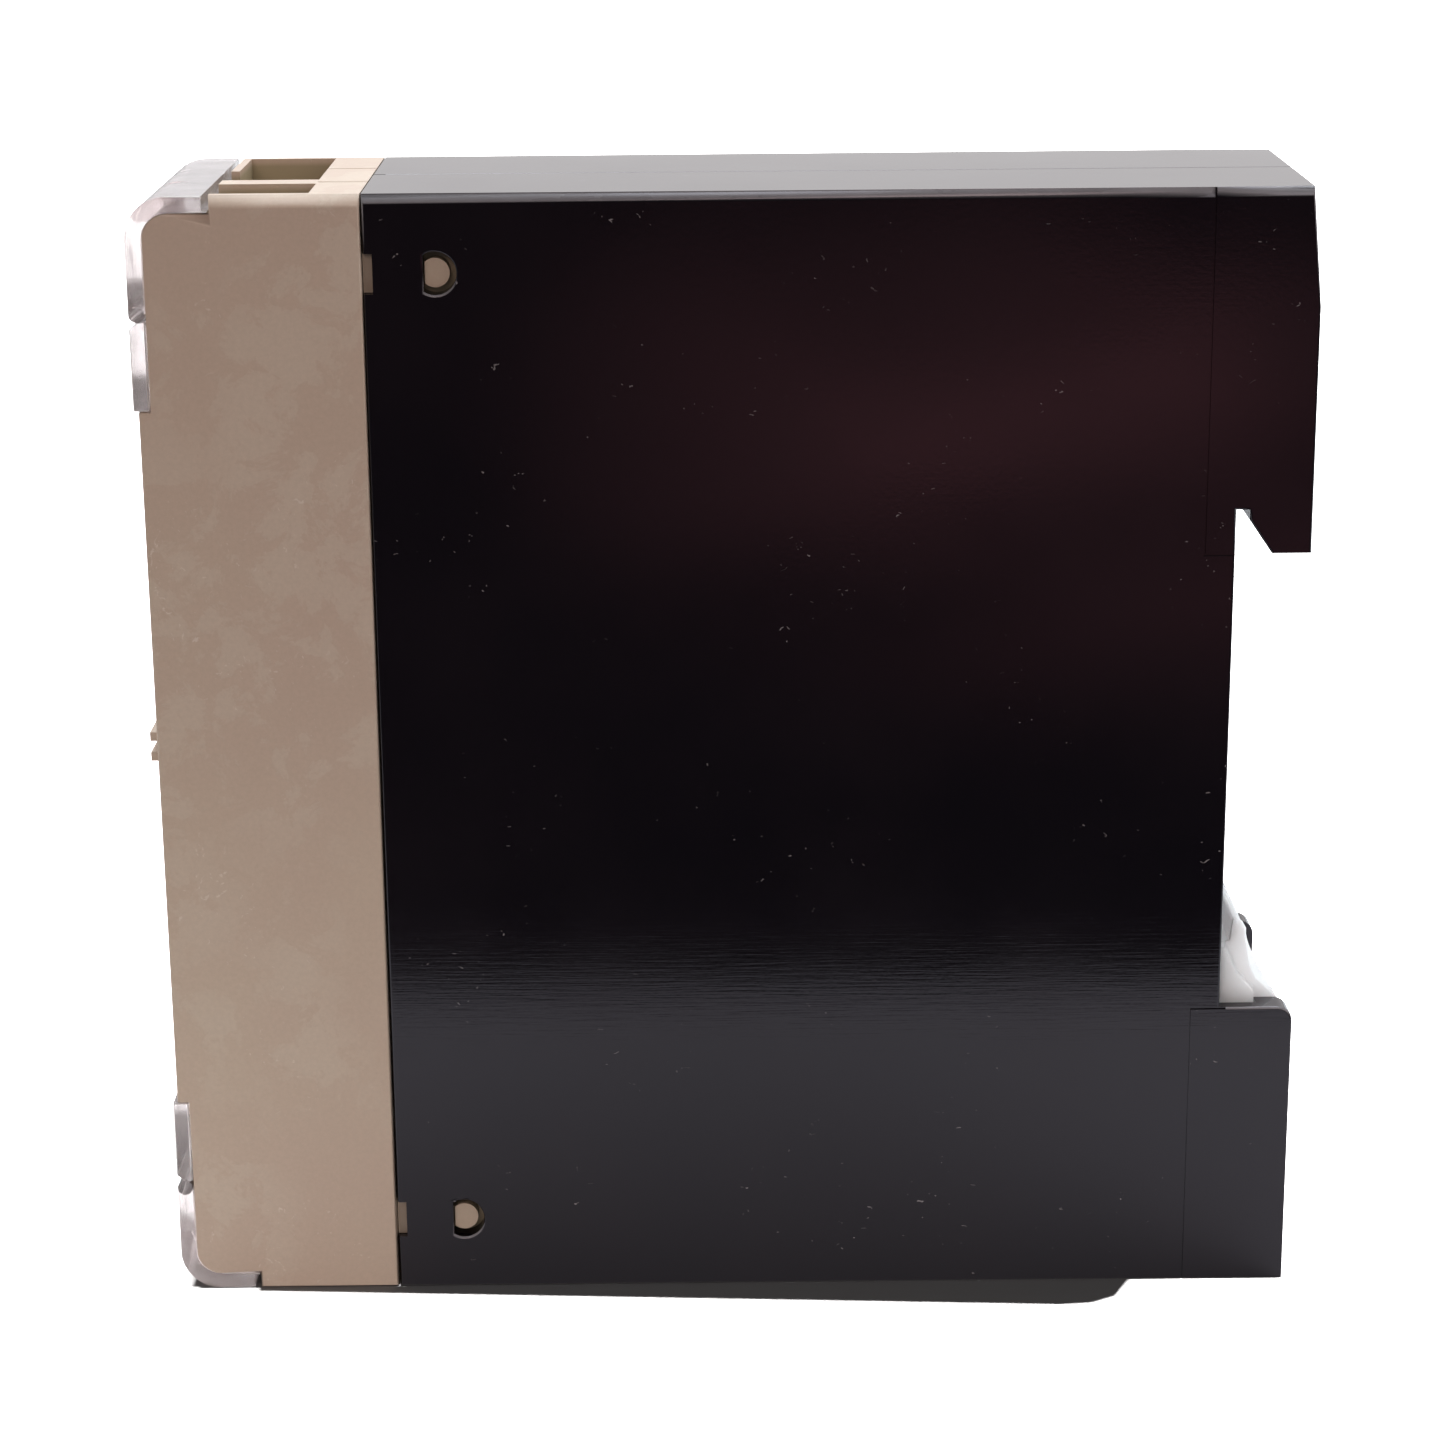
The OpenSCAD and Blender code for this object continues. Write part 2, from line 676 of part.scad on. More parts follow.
module input_capacitor() color("#1e2b52") placed() {
  can_r = 3.15;
  can_h = min(11, far_wall_y - far_y - 0.4);
  rod_y(far_y, far_y + can_h, 30, board_z + 5.5, can_r);
}

module varistor() color("#2456a8") placed() {
  disc_r = 4.6;
  disc_t = 4;
  y = far_y + 1.2 + disc_r;
  z = board_z + board_h - 6.5;
  rod_x(20, 20 + disc_t, y, z, disc_r);
  for (s = [-1, 1]) rod_y(far_y, y, 20 + disc_t / 2, z + s * 2.5, 0.4);
}

module snubber_capacitor() color("#a33a2c") placed() {
  z = board_z + board_h - 9.5;
  span([30, far_y, z], [43, far_y + 9.8, z + 6]);
}

housing_shell_near();
housing_shell_far();
front_frame();
upper_cover_strip();
upper_cover_flap();
lower_cover_strip();
lower_cover_flap();
rail_clip();
clip_spring();
name_plate();
light_pipe();
status_led();
main_board();
heat_spreader();
thermal_pads();
power_thyristors();
thyristor_screws();
opto_driver();
input_rectifier();
input_resistors();
input_capacitor();
varistor();
snubber_capacitor();
snubber_resistor();
upper_busbars();
lower_busbars();
for (i = [1:columns]) {
  upper_screw(i);
  lower_screw(i);
  upper_cage(i);
  lower_cage(i);
}
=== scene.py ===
"""Slim rail-mounted solid state relay: the looks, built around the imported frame."""

import json
import math

import bmesh
import bpy
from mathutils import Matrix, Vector

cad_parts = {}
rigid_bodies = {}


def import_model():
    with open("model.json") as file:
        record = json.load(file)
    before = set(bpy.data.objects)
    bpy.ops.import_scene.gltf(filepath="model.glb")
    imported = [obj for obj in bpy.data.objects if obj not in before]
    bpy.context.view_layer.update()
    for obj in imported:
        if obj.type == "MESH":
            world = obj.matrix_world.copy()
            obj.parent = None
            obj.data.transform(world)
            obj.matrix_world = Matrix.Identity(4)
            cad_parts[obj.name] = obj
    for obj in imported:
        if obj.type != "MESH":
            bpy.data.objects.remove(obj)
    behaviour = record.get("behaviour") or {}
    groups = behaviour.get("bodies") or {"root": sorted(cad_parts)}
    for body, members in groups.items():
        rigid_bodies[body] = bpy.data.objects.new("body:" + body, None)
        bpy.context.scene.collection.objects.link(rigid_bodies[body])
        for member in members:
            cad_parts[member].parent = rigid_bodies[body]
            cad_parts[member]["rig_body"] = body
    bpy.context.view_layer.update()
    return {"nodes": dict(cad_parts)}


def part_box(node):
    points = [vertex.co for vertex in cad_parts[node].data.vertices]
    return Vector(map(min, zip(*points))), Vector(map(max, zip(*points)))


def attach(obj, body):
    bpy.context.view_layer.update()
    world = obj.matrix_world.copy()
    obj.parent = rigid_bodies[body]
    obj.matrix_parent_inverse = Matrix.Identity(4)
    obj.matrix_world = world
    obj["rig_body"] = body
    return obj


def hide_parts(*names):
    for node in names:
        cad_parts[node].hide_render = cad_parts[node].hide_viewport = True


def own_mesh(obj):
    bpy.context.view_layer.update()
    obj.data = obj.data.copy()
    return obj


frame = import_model()
nodes = frame["nodes"]
scene = bpy.context.scene
MM = 0.001

# ---- Places worked out from the frame ----
near_low, near_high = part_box("housing_shell_near")
far_low, far_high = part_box("housing_shell_far")
SEAM_X = near_low.x
NEAR_Y = near_low.y
FAR_Y = far_high.y
MID_Y = (NEAR_Y + FAR_Y) / 2
REAR_X = near_high.x
TOP_Z = near_high.z


# ---- Camera, stage and light ----

def add(name, data):
    """Links a new object to the scene."""
    made = bpy.data.objects.new(name, data)
    scene.collection.objects.link(made)
    return made


def make_camera():
    """The camera stands in front of the near side, a little above it, and looks slightly down."""
    place_mm = (-1.4, -265.7, 122.3)
    tilt, roll, pan = 73.566, 0.446, -0.371
    camera = add("camera", bpy.data.cameras.new("camera"))
    camera.data.lens = 85.9
    camera.data.sensor_width = 36
    camera.location = Vector(place_mm) * MM
    camera.rotation_euler = [math.radians(angle) for angle in (tilt, roll, pan)]
    camera.data.clip_start = 0.01
    camera.data.clip_end = 50
    scene.camera = camera


def plain_surface(name, color, strength=0.0):
    """A matt surface that can give some light of its own."""
    made = bpy.data.materials.new(name)
    made.use_nodes = True
    shader = made.node_tree.nodes["Principled BSDF"]
    shader.inputs["Base Color"].default_value = (*color, 1)
    shader.inputs["Roughness"].default_value = 0.9
    shader.inputs["Emission Color"].default_value = (*color, 1)
    shader.inputs["Emission Strength"].default_value = strength
    return made


def card(name, low, high, z, material, seen_by):
    """A flat sheet of the stage. seen_by names the kinds of ray that meet it."""
    mesh = bpy.data.meshes.new(name)
    corners = [(low[0], low[1], z), (high[0], low[1], z), (high[0], high[1], z), (low[0], high[1], z)]
    mesh.from_pydata(corners, [], [(0, 1, 2, 3)])
    made = add(name, mesh)
    mesh.materials.append(material)
    for kind in ("camera", "diffuse", "glossy", "transmission", "shadow"):
        setattr(made, "visible_" + kind, kind in seen_by)
    return made


def area_light(name, place, target, size, power, color):
    """A soft box that faces a point of the object."""
    data = bpy.data.lights.new(name, "AREA")
    data.shape = "RECTANGLE"
    data.size, data.size_y = size
    data.energy = power
    data.color = color
    made = add(name, data)
    made.location = place
    made.rotation_euler = (Vector(target) - Vector(place)).to_track_quat("-Z", "Y").to_euler()
    return made


def warm_room():
    """The dim room beyond the sheet, with one warm patch that the black side mirrors."""
    n = Nodes("stage_room")
    patch = n.tree.nodes.new("ShaderNodeTexGradient")
    patch.gradient_type = "SPHERICAL"
    mapping = n.tree.nodes.new("ShaderNodeMapping")
    mapping.vector_type = "TEXTURE"
    mapping.inputs["Location"].default_value = (0.06, NEAR_Y - 0.40, 0)
    mapping.inputs["Scale"].default_value = (0.11, 0.26, 1)
    n.join(n.place, mapping.inputs["Vector"])
    n.join(mapping.outputs["Vector"], patch.inputs["Vector"])
    cloud = n.ramp(n.noise(90, 3), 0.35, 0.6)
    warmth = n.times(n.ramp(patch.outputs["Fac"], 0, 0.6), cloud)
    glow = n.mix(warmth, (0.014, 0.009, 0.015), (0.70, 0.27, 0.29))
    n.join(glow, n.shader.inputs["Emission Color"])
    return n.paint(Emission_Strength=1.0, Base_Color=(0.01, 0.008, 0.009, 1), Roughness=1.0)


def make_flag():
    """A low flag that only stops light: the shadow at the foot of the near side widens to the rear.

    The outline is measured from the seam and from the near side.
    """
    outline_mm = [(-11.5, -0.02), (-11.5, -0.7), (53, -4.6), (55.5, -4.3), (57.5, -3.1), (59, -0.02)]
    flag_z = 10 * MM
    mesh = bpy.data.meshes.new("flag")
    points = [(SEAM_X + x * MM, NEAR_Y + y * MM, flag_z) for x, y in outline_mm]
    mesh.from_pydata(points, [], [range(len(points))])
    flag = add("flag", mesh)
    mesh.materials.append(plain_surface("stage_flag", (0.1, 0.1, 0.1)))
    for kind in ("camera", "diffuse", "glossy", "transmission"):
        setattr(flag, "visible_" + kind, False)
    return flag


def make_world():
    """A dim warm sky gives some light. Where the camera would see it, there is plain white instead."""
    scene.world = bpy.data.worlds.new("studio")
    scene.world.use_nodes = True
    world = scene.world.node_tree.nodes
    sky = world["Background"]
    sky.inputs["Color"].default_value = (1, 0.97, 0.96, 1)
    sky.inputs["Strength"].default_value = 0.30
    backdrop = world.new("ShaderNodeBackground")
    backdrop.inputs["Color"].default_value = (1, 1, 1, 1)
    backdrop.inputs["Strength"].default_value = 1.2
    either = world.new("ShaderNodeMixShader")
    path = world.new("ShaderNodeLightPath")
    links = scene.world.node_tree.links
    links.new(path.outputs["Is Camera Ray"], either.inputs[0])
    links.new(sky.outputs[0], either.inputs[1])
    links.new(backdrop.outputs[0], either.inputs[2])
    links.new(either.outputs[0], world["World Output"].inputs["Surface"])


def make_stage():
    """A pale floor, with a white sheet that ends a little in front of the object and a dim room beyond.

    What shows through the clear covers is a plain glowing card, so that the floor lamp can be strong.
    """
    floor_paint = plain_surface("stage_floor", (0.2, 0.195, 0.195))
    floor = card("floor", (-4, -4), (4, 4), 0, floor_paint, ("camera",))
    glow_z, sheet_z = -0.4 * MM, -0.2 * MM
    glow_paint = plain_surface("stage_glow", (1, 0.965, 0.955), 0.88)
    card("glow", (-4, -4), (4, 4), glow_z, glow_paint, ("transmission",))
    sheet_front = NEAR_Y - 68 * MM
    sheet_paint = plain_surface("stage_sheet", (0.86, 0.86, 0.86))
    card("sheet", (-0.8, sheet_front), (0.8, 1.6), sheet_z, sheet_paint, ("diffuse", "glossy"))
    card("room", (-3, -3), (3, sheet_front), sheet_z, warm_room(), ("diffuse", "glossy"))
    make_world()
    scene.view_settings.view_transform = "Standard"
    return floor


def collection_of(name, members):
    """A collection for light linking, which isn't part of the scene itself."""
    made = bpy.data.collections.new(name)
    for member in members:
        made.objects.link(member)
    return made


def make_lights(floor, flag):
    """Soft boxes above, behind and in front light the object. A lamp of its own lights the floor."""
    centre = (0, 0, 0.04)
    clip = (0.045, 0, 0.03)
    boxes = [
        area_light("top_box", (0.0, 0.3, 0.8), centre, (1.0, 1.0), 11.7, (0.85, 0.94, 1)),
        area_light("back_box", (0.2, 0.95, 0.62), centre, (1.7, 1.3), 4.9, (1, 0.97, 0.985)),
        area_light("front_fill", (-0.2, -0.9, 0.55), centre, (0.5, 0.3), 2.1, (1, 0.80, 0.74)),
        area_light("side_fill", (0.55, -0.25, 0.3), clip, (0.4, 0.4), 0.7, (1, 0.97, 0.98)),
    ]
    floor_lamp = add("floor_lamp", bpy.data.lights.new("floor_lamp", "SUN"))
    floor_lamp.data.energy = 60
    floor_lamp.data.angle = math.radians(4)
    floor_lamp.rotation_euler = Vector((0, 0.002, 1)).to_track_quat("Z", "Y").to_euler()
    meshes = [made for made in scene.objects if made.type == "MESH" and made is not floor]
    lit = collection_of("lit_by_boxes", [made for made in meshes if made is not flag])
    for box in boxes:
        box.light_linking.receiver_collection = lit
        box.light_linking.blocker_collection = lit
        box.visible_camera = False
        box.visible_transmission = False
    shading = [made for made in meshes if "lower_cover" not in made.name]
    floor_lamp.light_linking.receiver_collection = collection_of("lit_by_floor_lamp", [floor])
    floor_lamp.light_linking.blocker_collection = collection_of("shades_the_floor", shading)
    floor_lamp.visible_camera = False


# ---- Materials ----

class Nodes:
    """A short way to write one material's nodes."""

    def __init__(self, name):
        self.material = bpy.data.materials.new(name)
        self.material.use_nodes = True
        self.tree = self.material.node_tree
        self.shader = self.tree.nodes["Principled BSDF"]
        self.place = self.tree.nodes.new("ShaderNodeTexCoord").outputs["Object"]

    def join(self, source, target):
        """Links one socket to another."""
        self.tree.links.new(source, target)

    def stretched(self, scale):
        """Object coordinates, scaled along each axis."""
        mapping = self.tree.nodes.new("ShaderNodeMapping")
        mapping.inputs["Scale"].default_value = scale
        self.join(self.place, mapping.inputs["Vector"])
        return mapping.outputs["Vector"]

    def noise(self, size_mm, detail=4, rough=0.5, stretch=(1, 1, 1), twist=0.0):
        """Noise whose blotches are about size_mm across."""
        made = self.tree.nodes.new("ShaderNodeTexNoise")
        made.inputs["Scale"].default_value = 1 / (size_mm * MM)
        made.inputs["Detail"].default_value = detail
        made.inputs["Roughness"].default_value = rough
        made.inputs["Distortion"].default_value = twist
        self.join(self.stretched(stretch), made.inputs["Vector"])
        return made.outputs["Fac"]

    def ramp(self, value, low, high, out_low=0.0, out_high=1.0):
        """Maps value from low..high to out_low..out_high, clamped."""
        made = self.tree.nodes.new("ShaderNodeMapRange")
        made.inputs["From Min"].default_value = low
        made.inputs["From Max"].default_value = high
        made.inputs["To Min"].default_value = out_low
        made.inputs["To Max"].default_value = out_high
        self.join(value, made.inputs["Value"])
        return made.outputs["Result"]

    def reckon(self, operation, *values):
        """One arithmetic operation on sockets."""
        made = self.tree.nodes.new("ShaderNodeMath")
        made.operation = operation
        for value, socket in zip(values, made.inputs):
            self.join(value, socket)
        return made.outputs[0]

    def times(self, first, *others):
        """The product of several sockets."""
        for other in others:
            first = self.reckon("MULTIPLY", first, other)
        return first

    def most(self, first, second):
        """The larger of two sockets."""
        return self.reckon("MAXIMUM", first, second)

    def axes(self, vector):
        """The X, Y and Z of a vector."""
        made = self.tree.nodes.new("ShaderNodeSeparateXYZ")
        self.join(vector, made.inputs["Vector"])
        return [made.outputs[axis] for axis in "XYZ"]

    def facing(self):
        """The X, Y and Z of the surface's own direction."""
        return self.axes(self.tree.nodes.new("ShaderNodeTexCoord").outputs["Normal"])

    def upper_roundings(self):
        """1 on the rounded edges between the top and the two sides, 0 on flat faces."""
        _, sideways, upward = self.facing()
        return self.ramp(self.times(self.reckon("ABSOLUTE", sideways), upward), 0.08, 0.30)

    def mix(self, factor, first, second):
        """Mixes two colours, each a tuple or a socket."""
        made = self.tree.nodes.new("ShaderNodeMix")
        made.data_type = "RGBA"
        self.join(factor, made.inputs["Factor"])
        for socket, color in (("A", first), ("B", second)):
            target = [s for s in made.inputs if s.name == socket and s.type == "RGBA"][0]
            if isinstance(color, tuple):
                target.default_value = (*color, 1)
            else:
                self.join(color, target)
        return [s for s in made.outputs if s.type == "RGBA"][0]

    def bump(self, height, depth_mm, strength=1.0, base=None):
        """Raises the surface by height times depth_mm."""
        made = self.tree.nodes.new("ShaderNodeBump")
        made.inputs["Strength"].default_value = strength
        made.inputs["Distance"].default_value = depth_mm * MM
        self.join(height, made.inputs["Height"])
        if base is not None:
            self.join(base, made.inputs["Normal"])
        return made.outputs["Normal"]

    def paint(self, color=None, roughness=None, normal=None, **constants):
        """Joins the sockets and sets the constants on the shader itself."""
        for name, value in (("Base Color", color), ("Roughness", roughness), ("Normal", normal)):
            if value is not None:
                self.join(value, self.shader.inputs[name])
        for name, value in constants.items():
            self.shader.inputs[name.replace("_", " ")].default_value = value
        return self.material


def black_shell():
    """Glossy black plastic: streaks on the lower half, faint blotches, pale nicks, and pale upper roundings
    that are partly wear and partly a painted highlight.
    """
    n = Nodes("black_shell")
    blotch = n.noise(14, 3, 0.5)
    height = n.axes(n.place)[2]
    streaked = n.times(n.ramp(height, 12 * MM, 20 * MM), n.ramp(height, 34 * MM, 44 * MM, 1, 0.12))
    streak = n.times(n.noise(0.8, 3, 0.6, (0.12, 1, 4)), streaked)
    grain = n.noise(0.3, 2)
    speck = n.ramp(n.noise(0.6, 1, 0.4, (1, 1, 1.6), 1.2), 0.765, 0.79)
    nick = n.times(speck, n.ramp(n.noise(11, 2), 0.52, 0.60))
    # Pale band on the rounded upper edges: partly wear, partly a painted highlight on the rounding.
    wear_and_highlight = n.times(n.upper_roundings(), n.ramp(n.noise(2.5, 4, 0.6, (0.3, 1, 1)), 0.3, 0.7, 0.7, 1))
    color = n.mix(n.ramp(blotch, 0.35, 0.7), (0.0020, 0.0015, 0.0026), (0.0040, 0.0026, 0.0038))
    color = n.mix(nick, color, (0.20, 0.18, 0.18))
    color = n.mix(wear_and_highlight, color, (0.205, 0.190, 0.197))
    roughness = n.most(n.ramp(blotch, 0.3, 0.7, 0.10, 0.15), n.ramp(wear_and_highlight, 0, 1, 0, 0.35))
    normal = n.bump(streak, 0.010, 0.6)
    normal = n.bump(grain, 0.005, 0.5, normal)
    return n.paint(color, roughness, normal, IOR=1.5, Specular_Tint=(0.97, 0.90, 1.0, 1))


def beige_frame():
    """Aged beige plastic: pinkish smudges, pale worn patches, fine curls, and painted shade inside and on the
    tabs.
    """
    n = Nodes("beige_frame")
    cloud = n.noise(20, 3, 0.5)
    ragged = n.noise(4.5, 8, 0.68, twist=0.4)
    patch = n.times(n.ramp(cloud, 0.46, 0.60), n.ramp(ragged, 0.49, 0.53))
    curl = n.times(n.ramp(n.noise(1.1, 3, 0.6, twist=2.2), 0.66, 0.70), n.ramp(n.noise(8, 2), 0.5, 0.6))
    across, deep, height = n.axes(n.place)
    # Painted shade on the inner faces, away from the outer sides, the top, the base and the front.
    painted_inner_shade = n.times(
        n.ramp(deep, NEAR_Y + 0.4 * MM, NEAR_Y + 0.9 * MM),
        n.ramp(deep, FAR_Y - 0.9 * MM, FAR_Y - 0.4 * MM, 1, 0),
        n.ramp(height, TOP_Z - 0.6 * MM, TOP_Z - 0.2 * MM, 1, 0),
        n.ramp(height, 0.2 * MM, 0.6 * MM),
        n.ramp(across, SEAM_X - 15.8 * MM, SEAM_X - 15.2 * MM),
    )
    # Darker painted shade on the snap tabs in the notches at the seam.
    tabs = n.times(
        painted_inner_shade,
        n.ramp(across, SEAM_X, SEAM_X + 0.02 * MM),
        n.ramp(across, SEAM_X + 1.0 * MM, SEAM_X + 1.2 * MM, 1, 0),
    )
    color = n.mix(n.ramp(n.noise(26, 3), 0.35, 0.65), (0.545, 0.410, 0.318), (0.560, 0.437, 0.332))
    color = n.mix(n.ramp(height, 0.3 * TOP_Z, TOP_Z, 0, 0.5), color, (0.530, 0.384, 0.305))
    color = n.mix(n.ramp(patch, 0, 1, 0, 0.30), color, (0.64, 0.55, 0.44))
    color = n.mix(n.ramp(curl, 0, 1, 0, 0.42), color, (0.78, 0.70, 0.62))
    color = n.mix(n.ramp(n.noise(0.4, 3, 0.7), 0.35, 0.65, 0, 0.14), color, (0.34, 0.26, 0.20))
    # Painted shade inside, then darker painted shade on the tabs.
    color = n.mix(painted_inner_shade, color, (0.355, 0.285, 0.185))
    color = n.mix(tabs, color, (0.130, 0.095, 0.080))
    roughness = n.ramp(ragged, 0.3, 0.7, 0.42, 0.55)
    normal = n.bump(n.noise(0.5, 3), 0.01, 0.5)
    normal = n.bump(patch, 0.01, 0.5, normal)
    return n.paint(color, roughness, normal, IOR=1.5)


def clear_cover():
    """Clear plastic, faintly pink and hazed, with fine lines, a slightly milky top, and a painted highlight
    that whitens the slanted edges.
    """
    n = Nodes("clear_cover")
    haze = n.noise(5, 4, 0.55)
    lines = n.ramp(n.noise(1.1, 2, 0.5, (0.1, 1, 0.1)), 0.52, 0.66)
    _, sideways, upward = n.facing()
    lean = n.reckon("ABSOLUTE", sideways)
    # Painted highlight: the slanted edges are whiter, rougher and less clear.
    edge = n.times(n.ramp(lean, 0.2, 0.4), n.ramp(lean, 0.8, 0.95, 1, 0))
    # Less clear on the top faces, and on the edges for the painted highlight.
    milky_top_and_edge_highlight = n.most(edge, n.ramp(upward, 0.5, 0.9, 0, 0.25))
    color = n.mix(n.ramp(haze, 0.35, 0.7), (0.90, 0.845, 0.84), (0.80, 0.735, 0.735))
    color = n.mix(n.ramp(lines, 0, 1, 0, 0.4), color, (0.62, 0.56, 0.57))
    color = n.mix(edge, color, (1, 0.97, 0.95))
    roughness = n.most(n.ramp(n.noise(2.5, 4), 0.35, 0.75, 0.10, 0.26), n.ramp(edge, 0, 1, 0, 0.4))
    normal = n.bump(n.noise(3, 2), 0.05, 0.35)
    normal = n.bump(lines, 0.02, 0.5, normal)
    n.join(n.ramp(milky_top_and_edge_highlight, 0, 1, 0.84, 0.35), n.shader.inputs["Transmission Weight"])
    return n.paint(color, roughness, normal, IOR=1.49, Specular_Tint=(1.0, 0.93, 0.92, 1))


def white_nylon():
    """Milky nylon that lets some light through."""
    n = Nodes("white_nylon")
    cloud = n.noise(4, 3)
    color = n.mix(n.ramp(cloud, 0.3, 0.7), (0.99, 0.965, 0.97), (0.95, 0.92, 0.925))
    normal = n.bump(n.noise(0.6, 3), 0.01, 0.4)
    roughness = n.ramp(cloud, 0.3, 0.7, 0.35, 0.5)
    return n.paint(
        color, roughness, normal, IOR=1.53,
        Subsurface_Weight=0.9, Subsurface_Radius=(1.0, 0.93, 0.93), Subsurface_Scale=0.004,
    )


def metal(name, low, high, rough, brushed=(1, 1, 1)):
    """Metal with brushed or plated variation and light wear."""
    n = Nodes(name)
    tone = n.noise(1.5, 4, 0.6, brushed)
    color = n.mix(n.ramp(tone, 0.3, 0.7), low, high)
    normal = n.bump(n.noise(0.3, 2, 0.5, brushed), 0.008, 0.5)
    return n.paint(color, n.ramp(tone, 0.3, 0.7, rough, rough + 0.15), normal, Metallic=1.0)


def moulded(name, low, high, rough, spot_mm=2.0, **constants):
    """Moulded, painted or laminated material with soft variation."""
    n = Nodes(name)
    tone = n.noise(spot_mm, 4, 0.55)
    color = n.mix(n.ramp(tone, 0.3, 0.7), low, high)
    normal = n.bump(n.noise(0.25, 3), 0.01, 0.5)
    return n.paint(color, n.ramp(tone, 0.3, 0.7, rough, rough + 0.12), normal, **constants)


def make_materials():
    """Each of the record's slots by name."""
    metals = {
        "spring_steel": ((0.42, 0.42, 0.43), (0.56, 0.56, 0.58), 0.25),
        "aluminium": ((0.62, 0.63, 0.65), (0.74, 0.75, 0.77), 0.3, (0.2, 1, 3)),
        "steel": ((0.55, 0.55, 0.56), (0.68, 0.68, 0.70), 0.22),
        "brass": ((0.62, 0.44, 0.18), (0.72, 0.53, 0.24), 0.28),
        "cage_brass": ((0.66, 0.56, 0.30), (0.76, 0.66, 0.38), 0.3),
    }
    mouldings = {
        "plate_white": ((0.76, 0.74, 0.69), (0.83, 0.81, 0.77), 0.4),
        "board_green": ((0.012, 0.09, 0.03), (0.02, 0.14, 0.045), 0.3, 4.0),
        "pad_grey": ((0.26, 0.28, 0.33), (0.33, 0.35, 0.40), 0.7),
        "package_black": ((0.012, 0.012, 0.014), (0.022, 0.022, 0.024), 0.45),
        "resistor_blue": ((0.06, 0.19, 0.38), (0.08, 0.24, 0.46), 0.35),
        "resistor_grey": ((0.24, 0.26, 0.17), (0.30, 0.32, 0.22), 0.6),
        "sleeve_dark": ((0.010, 0.020, 0.075), (0.015, 0.030, 0.10), 0.25),
        "varistor_blue": ((0.02, 0.10, 0.36), (0.03, 0.14, 0.44), 0.3),
        "capacitor_red": ((0.38, 0.05, 0.03), (0.46, 0.07, 0.04), 0.35),
    }
    clear_green = moulded("light_pipe", (0.35, 0.75, 0.38), (0.45, 0.85, 0.48), 0.12, Transmission_Weight=0.6)
    deep_green = moulded("led_green", (0.12, 0.55, 0.18), (0.16, 0.65, 0.22), 0.15, Transmission_Weight=0.3)
    made = [black_shell(), beige_frame(), clear_cover(), white_nylon(), clear_green, deep_green]
    made += [metal(name, *look) for name, look in metals.items()]
    made += [moulded(name, *look) for name, look in mouldings.items()]
    return {material.name: material for material in made}


# ---- Pieces ----

def mesh_from(shape, name):
    """Turns a bmesh into a mesh and frees it."""
    mesh = bpy.data.meshes.new(name)
    shape.to_mesh(mesh)
    shape.free()
    return mesh


def bare_mesh(node):
    """The node's shape as a bmesh, with its flat faces merged."""
    source = nodes[node].data
    mesh = bpy.data.meshes.new(node + "_shape")
    mesh.from_pydata([v.co for v in source.vertices], [], [list(p.vertices) for p in source.polygons])
    shape = bmesh.new()
    shape.from_mesh(mesh)
    bpy.data.meshes.remove(mesh)
    bmesh.ops.remove_doubles(shape, verts=shape.verts, dist=1e-6)
    bmesh.ops.dissolve_limit(shape, angle_limit=math.radians(0.5), verts=shape.verts, edges=shape.edges)
    bmesh.ops.recalc_face_normals(shape, faces=shape.faces)
    return shape


def smooth_shape(node):
    """The node's shape as a smooth shaded bmesh."""
    shape = bare_mesh(node)
    for face in shape.faces:
        face.smooth = True
    return shape


def outer_edges(side, crown, parting=0.0, least_mm=0.0):
    """Gives the radii in mm of the edges round the two side faces, of the upper ones and of the parting line.

    Edges shorter than least_mm stay sharp.
    """
    def radius(edge):
        if edge.calc_length() < least_mm * MM:
            return 0
        if all(abs(v.co.y - MID_Y) < 0.01 * MM for v in edge.verts):
            outside = [f for f in edge.link_faces if abs(f.normal.y) < 0.1 and is_outside(f)]
            return parting if outside else 0
        flats = [f for f in edge.link_faces if abs(f.normal.y) > 0.99 and on_side(f)]
        others = [f for f in edge.link_faces if f not in flats]
        if len(flats) != 1 or not others:
            return 0
        spread = [v.co.y for v in others[0].verts]
        if max(spread) - min(spread) < 1 * MM:
            return 0
        if others[0].normal.z > 0.9 and edge.verts[0].co.z > TOP_Z - 2 * MM:
            return crown
        return side
    return radius


def is_outside(face):
    """Whether a face lies on the top, the base or the rear of the housing."""
    middle = face.calc_center_median()
    return middle.z > TOP_Z - 0.1 * MM or middle.z < 0.1 * MM or middle.x > REAR_X - 1 * MM


def on_side(face):
    """Whether a face lies on one of the two outer sides."""
    y = face.calc_center_median().y
    return min(abs(y - NEAR_Y), abs(y - FAR_Y)) < 0.1 * MM


def all_edges(radius_mm, least_mm=1.0):
    """One radius in mm for every edge of at least that length."""
    return lambda edge: radius_mm if edge.calc_length() > least_mm * MM else 0


def refined(node, radius_of, steps=4, corner=28):
    """A copy of a node whose sharp edges are rounded to the radius in mm that radius_of gives."""
    shape = smooth_shape(node)
    weight = shape.edges.layers.float.new("bevel_weight_edge")
    rounded = {}
    for edge in shape.edges:
        if len(edge.link_faces) == 2 and edge.calc_face_angle(0) > math.radians(corner):
            rounded[edge] = radius_of(edge)
    largest = max(rounded.values())
    for edge, radius in rounded.items():
        edge[weight] = radius / largest
    mesh = mesh_from(shape, node + "_look")
    mesh.set_sharp_from_angle(angle=math.radians(corner))
    piece = add(node + "_look", mesh)
    bevel = piece.modifiers.new("edges", "BEVEL")
    bevel.width = largest * MM
    bevel.segments = steps
    bevel.limit_method = "WEIGHT"
    bevel.use_clamp_overlap = False
    bevel.harden_normals = True
    return piece


def box_mesh(name, low, high):
    """A closed box between two corners."""
    shape = bmesh.new()
    bmesh.ops.create_cube(shape, size=1)
    size, middle = Vector(high) - Vector(low), (Vector(high) + Vector(low)) / 2
    for vertex in shape.verts:
        vertex.co = vertex.co * size + middle
    return mesh_from(shape, name)


